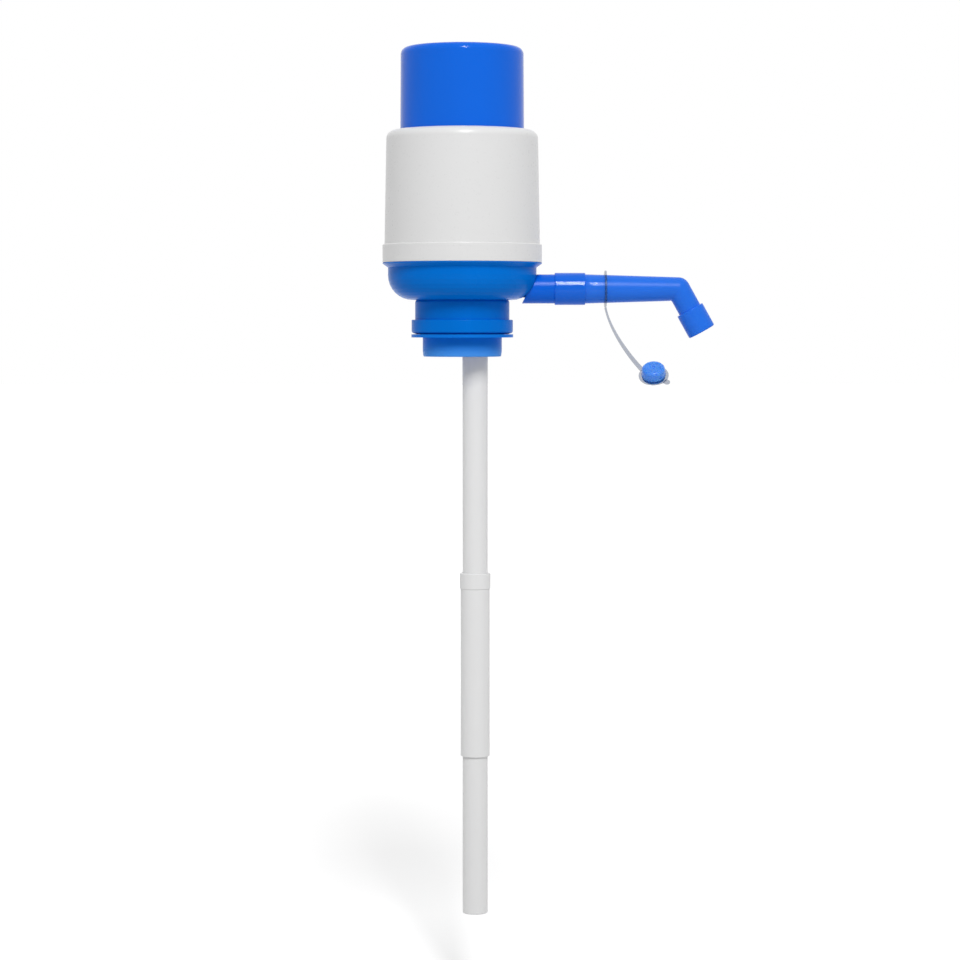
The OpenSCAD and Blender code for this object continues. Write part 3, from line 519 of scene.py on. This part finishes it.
def make_bellows():
    """Bellows with rounded folds, its foot on the plate. Its lip is a piece that rides the head."""
    folds, root_r, crest_r, wall = 11, 22.6, 28.0, 0.9
    foot_r, foot_t, collar_r, collar_in_r = 30.0, 1.0, 26.3, 25.4
    lip_r, lip_z, lip_top = 23.4, 139.1, 140.0
    low, high = 42.9, 137.1
    steps = folds * 12
    skin = []
    for i in range(steps + 1):
        swing = math.sin(2 * math.pi * (folds * i / steps - 0.25))
        swing = math.copysign(abs(swing) ** 0.8, swing)
        r = (root_r + crest_r) / 2 + swing * (crest_r - root_r) / 2
        skin.append((r, low + (high - low) * i / steps))
    lining = [(r - wall, z) for r, z in reversed(skin)]
    foot = [
        (root_r - wall, PLATE_Z), (foot_r, PLATE_Z), (foot_r, PLATE_Z + foot_t), (root_r, PLATE_Z + foot_t)
    ]
    top = [(collar_r, high), (collar_r, high + 0.2), (root_r - wall, high + 0.2)]
    outline = foot + skin + top + lining
    made = piece("bellows_skin", lathe(outline, 120), "bellows_plastic", "base", "bellows", sharp=40)
    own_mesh(made)
    lip = [
        (collar_in_r, high + 0.3), (collar_r, high + 0.3), (collar_r, lip_top), (lip_r, lip_top),
        (lip_r, lip_z), (collar_in_r, lip_z),
    ]
    piece("bellows_lip", lathe(lip, 120), "bellows_plastic", "press_cap")


def make_spring():
    """Compression spring of round wire with closed ends."""
    turns, radius, wire, sides, steps = 11, 12.5, 0.8, 12, 36
    low, high, closed = PLATE_Z + wire + 0.02, HEAD_Z - wire - 0.02, 2 * wire * 1.05
    pitch = (high - low - 2 * closed) / (turns - 2)
    rings = []
    for i in range(turns * steps + 1):
        u = i / steps
        if u < 1:
            z = low + closed * u
        elif u > turns - 1:
            z = high - closed * (turns - u)
        else:
            z = low + closed + pitch * (u - 1)
        a = 2 * math.pi * u
        ring = []
        for j in range(sides):
            b = -2 * math.pi * j / sides
            r = radius + wire * math.cos(b)
            ring.append((r * math.cos(a), r * math.sin(a), z + wire * math.sin(b)))
        rings.append(ring)
    made = piece("spring_wire", through(rings), "steel", "base", "return_spring")
    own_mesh(made)


# ---------------------------------------------------------------- dip tube


def make_tube(name, node, body, top, end):
    outline = rounded(
        [(TUBE_IN_R, end, 0.3), (TUBE_R, end, 0.5), (TUBE_R, top, 0.25), (TUBE_IN_R, top, 0.25)], 6
    )
    place = Matrix.Translation((TUBE_X * MM, 0, 0))
    piece(name, lathe(outline, 96), "tube_white", body, node, place)


def make_sleeve():
    lip_foot, stop = SLEEVE_TOP - 7.8, UPPER_END - 0.1
    outline = rounded(
        [
            (SLEEVE_BORE_R, SLEEVE_TOP, 0.15), (SLEEVE_LIP_R, SLEEVE_TOP, 0.5), (SLEEVE_LIP_R, lip_foot, 0.3),
            (SLEEVE_R, lip_foot - 0.6, 0.3), (SLEEVE_R, SLEEVE_END, 0.35), (SLEEVE_BORE_R, SLEEVE_END, 0.15),
            (SLEEVE_BORE_R, stop - 1.0), (SLEEVE_BORE_R - 0.8, stop - 1.0), (SLEEVE_BORE_R - 0.8, stop),
            (SLEEVE_BORE_R, stop),
        ],
        6,
    )
    place = Matrix.Translation((TUBE_X * MM, 0, 0))
    piece("sleeve_shell", lathe(outline, 96), "tube_white", "base", "tube_sleeve", place)


# ---------------------------------------------------------------- spout


def make_coupler():
    length = COUPLER_END - COUPLER_X
    outline = rounded(
        [
            (COUPLER_BORE, 0, 0.1), (COUPLER_R, 0, 0.4), (COUPLER_R, length, 0.4),
            (COUPLER_BORE, length, 0.1),
        ],
        6,
    )
    piece("coupler_shell", lathe(outline, 120), "coupler_blue", "base", "spout_coupler", along_x(COUPLER_X))


def bent_line(phi, stations, radius_at_elbow, leg_stations, crease, steps=14):
    """One line of the bent spout's skin, at angle phi round it, from the root to the tip.

    The elbow is a ball: lines on its outer side turn about the elbow's centre, and lines on its
    inner side meet in a crease that is rounded a little."""
    bend = math.radians(LEG_ANGLE)
    outward, side = math.cos(phi), math.sin(phi)
    leg = Vector((math.cos(bend), -math.sin(bend)))
    leg_out = Vector((math.sin(bend), math.cos(bend)))
    centre = Vector((ELBOW_X, OUTLET_Z))
    points = [Vector((x, OUTLET_Z + r * outward)) for x, r in stations]
    widths = [r * side for x, r in stations]
    if outward >= 0:
        for k in range(steps + 1):
            a = bend * k / steps
            points.append(centre + radius_at_elbow * outward * Vector((math.sin(a), math.cos(a))))
            widths.append(radius_at_elbow * side)
    else:
        depth = radius_at_elbow * outward
        corner = centre + depth * (Vector((0, 1)) + leg_out).normalized() / math.cos(bend / 2)
        fillet = crease * abs(outward)
        hub = corner - (Vector((0, 1)) + leg_out).normalized() * fillet / math.cos(bend / 2)
        for k in range(steps + 1):
            a = bend * k / steps
            points.append(hub + fillet * Vector((math.sin(a), math.cos(a))))
            widths.append(radius_at_elbow * side)
    for s, r in leg_stations:
        points.append(centre + leg * s + leg_out * r * outward)
        widths.append(r * side)
    return [(p.x, w, p.y) for p, w in zip(points, widths)]


def make_spout():
    """Spout in one skin: spigot, tapered arm, ball elbow, leg and tip collar, and its bore."""
    def arm_r(x):
        return ROOT_R + (END_R - ROOT_R) * (x - COUPLER_END) / (ELBOW_X - COUPLER_END)

    reach = END_R * math.tan(math.radians(LEG_ANGLE / 2)) + 0.8
    groove, groove_r = 59.175, 6.1
    arm = [(55.35, OUTLET_R - 0.25), (55.6, OUTLET_R), (groove - 0.8, OUTLET_R), (groove - 0.8, groove_r)]
    arm += [(groove + 0.8, groove_r), (groove + 0.8, OUTLET_R - 0.01)]
    arm += [(63.2, OUTLET_R - 0.01), (63.5, arm_r(63.5))]
    arm += [(x, arm_r(x)) for x in (70.0, 80.0, 90.0, 98.0, ELBOW_X - reach)]
    collar = rounded(
        [
            (END_R, LEG_LEN - TIP_LEN - 2.0), (END_R, LEG_LEN - TIP_LEN, 0.2),
            (TIP_R, LEG_LEN - TIP_LEN, 0.35), (TIP_R, LEG_LEN, 0.7), (TIP_BORE_R, LEG_LEN, 0.3),
            (TIP_BORE_R, LEG_LEN - TIP_BORE_LEN, 0.2), (BORE_R, LEG_LEN - TIP_BORE_LEN, 0.2),
        ],
        6,
    )[1:]
    leg = [(reach, END_R), ((reach + LEG_LEN - TIP_LEN) / 2, END_R)] + [(s, r) for r, s in collar]
    bore_reach = BORE_R * math.tan(math.radians(LEG_ANGLE / 2)) + 0.6
    bore_arm = [(55.35, 5.0), (80.0, 4.8), (ELBOW_X - bore_reach, BORE_R)]
    bore_leg = [(bore_reach, BORE_R), (LEG_LEN - TIP_BORE_LEN - 0.6, BORE_R)]
    lines = []
    for i in range(96):
        phi = 2 * math.pi * i / 96
        skin = bent_line(phi, arm, END_R, leg, 1.2)
        lining = bent_line(phi, bore_arm, BORE_R, bore_leg, 0.4)
        lines.append(skin + lining[::-1])
    mesh = bmesh.new()
    made = [[mesh.verts.new(Vector(p) * MM) for p in line] for line in lines]
    for i, line in enumerate(made):
        beside = made[(i + 1) % len(made)]
        for k in range(len(line)):
            m = (k + 1) % len(line)
            mesh.faces.new((line[k], line[m], beside[m], beside[k]))
    piece("spout_skin", mesh, "spout_blue", "spout", "spout", sharp=38)


# ---------------------------------------------------------------- tether and stopper


def stopper_turn(size):
    """The tilt and lean of the hanging stopper, as a square matrix of that size."""
    lean = Matrix.Rotation(math.radians(STOPPER_LEAN), size, "Y")
    return lean @ Matrix.Rotation(math.radians(STOPPER_TILT), size, "X")


def hung(v):
    """A direction in the stopper's own frame, turned as the stopper hangs."""
    return stopper_turn(3) @ Vector(v)


def hanging():
    """Places a mesh made in the stopper's own frame where the stopper hangs."""
    return Matrix.Translation(Vector(STOPPER_AT) * MM) @ stopper_turn(4)


def make_ring():
    near = RING_X - TETHER_T / 2
    bore = ROOT_R + (END_R - ROOT_R) * (near - COUPLER_END) / (ELBOW_X - COUPLER_END) + 0.06
    band = [(bore, 0, 0.1), (RING_R, 0, 0.3), (RING_R, TETHER_T, 0.3), (bore, TETHER_T, 0.1)]
    outline = rounded(band, 5)
    place = along_x(RING_X - TETHER_T / 2)
    piece("ring_band", lathe(outline, 96), "tether_clear", "tether_ring", "tether_ring", place)


def make_strap():
    """Flat strap from the ring to the stopper's flange, twisting as it hangs."""
    flange = Vector(STOPPER_AT) + hung((0, 0, TETHER_T / 2))
    tab = hung((math.cos(math.radians(TAB_TURN)), math.sin(math.radians(TAB_TURN)), 0))
    start = Vector((RING_X, 0, OUTLET_Z - RING_R - 0.02))
    end = flange - (FLANGE_R + 0.02) * tab
    last_side = hung((-math.sin(math.radians(TAB_TURN)), math.cos(math.radians(TAB_TURN)), 0))
    knots = [start, start + Vector((2.6, 0, -13.1)), end + Vector((-4.0, 4.1, 4.0)), end]
    rings = []
    corner = 0.3
    for i in range(49):
        t = i / 48
        u = 1 - t
        at = u**3 * knots[0] + 3 * u * u * t * knots[1] + 3 * u * t * t * knots[2] + t**3 * knots[3]
        ahead = u * u * (knots[1] - knots[0]) + 2 * u * t * (knots[2] - knots[1])
        ahead = ahead + t * t * (knots[3] - knots[2])
        ahead.normalize()
        across = (u * Vector((0, 1, 0)) + t * last_side).normalized()
        across = (across - across.dot(ahead) * ahead).normalized()
        up = ahead.cross(across)
        w, h = STRAP_W / 2, TETHER_T / 2
        section = []
        for cx, cz, first in ((w, h, 0), (-w, h, 90), (-w, -h, 180), (w, -h, 270)):
            for k in range(4):
                a = math.radians(first + 30 * k)
                x = math.copysign(abs(cx) - corner, cx) + corner * math.cos(a)
                z = math.copysign(abs(cz) - corner, cz) + corner * math.sin(a)
                section.append(at + across * x + up * z)
        rings.append(section)
    made = piece("strap_band", through(rings), "tether_clear", None, "tether_strap")
    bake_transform(made)


def make_flange():
    """Clear flange round the stopper's neck, with its pull tab."""
    hole_r, tab_r, tab_core = 5.2, 1.5, 0.4
    disc = [(hole_r, 0, 0.1), (FLANGE_R, 0, 0.25), (FLANGE_R, TETHER_T, 0.25), (hole_r, TETHER_T, 0.1)]
    mesh = lathe(rounded(disc, 5), 96)
    piece("flange_disc", mesh, "tether_clear", "stopper", "stopper_flange", hanging())
    tab = [(tab_core, 0), (tab_r, 0, 0.25), (tab_r, TETHER_T, 0.25), (tab_core, TETHER_T)]
    rings = []
    for r, z in rounded(tab, 5):
        ring = [(0, -r, z), (1.6, -r, z)]
        for k in range(1, 12):
            a = math.radians(-90 + 15 * k)
            ring.append((1.6 + r * math.cos(a), r * math.sin(a), z))
        ring += [(1.6, r, z), (0, r, z)]
        rings.append(ring)
    turned = hanging() @ Matrix.Rotation(math.radians(TAB_TURN), 4, "Z")
    place = turned @ Matrix.Translation(((FLANGE_R - 0.3) * MM, 0, 0))
    piece("flange_tab", through(rings), "tether_clear", "stopper", (), place)


def make_stopper():
    top = TETHER_T + STOPPER_H
    neck, lip, hollow = 5.1, 5.9, 3.8
    outline = [(0, top - 0.3), (0.7, top - 0.3), (0.95, top - 0.05)]
    outline += rounded(
        [
            (0.95, top - 0.05), (NOSE_R, top, 1.7), (STOPPER_R, TETHER_T, 0.25), (neck, TETHER_T, 0.1),
            (neck, 0, 0.1), (lip, 0, 0.15), (lip, -0.8, 0.3), (hollow, -0.8, 0.2), (hollow, top - 1.3, 0.3),
            (0.95, top - 1.3),
        ],
        8,
    )[1:]
    outline += [(0, top - 1.3)]
    mesh = lathe(outline, 96, closed=False)
    # The stopper takes the painted-light, lighter copy of the spout's blue.
    piece("stopper_plug", mesh, "spout_blue", "stopper", "stopper", hanging(), material=STOPPER_LIT_PLASTIC)


def dress_cad_nodes():
    """Better finishes for the CAD nodes that are shown as they are."""
    slots = {row["node"]: row["material_slot"] for row in frame["record"]["subparts"]}
    for name, node in frame["nodes"].items():
        node.data.materials.clear()
        node.data.materials.append(OUTLET_PLASTIC if name == "outlet_tube" else MATERIALS[slots[name]])


make_camera()
make_studio()
dress_cad_nodes()
make_cap()
make_housing()
make_bellows()
make_spring()
make_tube("tube_upper_skin", "upper_tube", "base", UPPER_TOP, UPPER_END)
make_tube("tube_lower_skin", "lower_tube", "lower_tube", LOWER_TOP, LOWER_END)
make_sleeve()
make_coupler()
make_spout()
make_ring()
make_strap()
make_flange()
make_stopper()
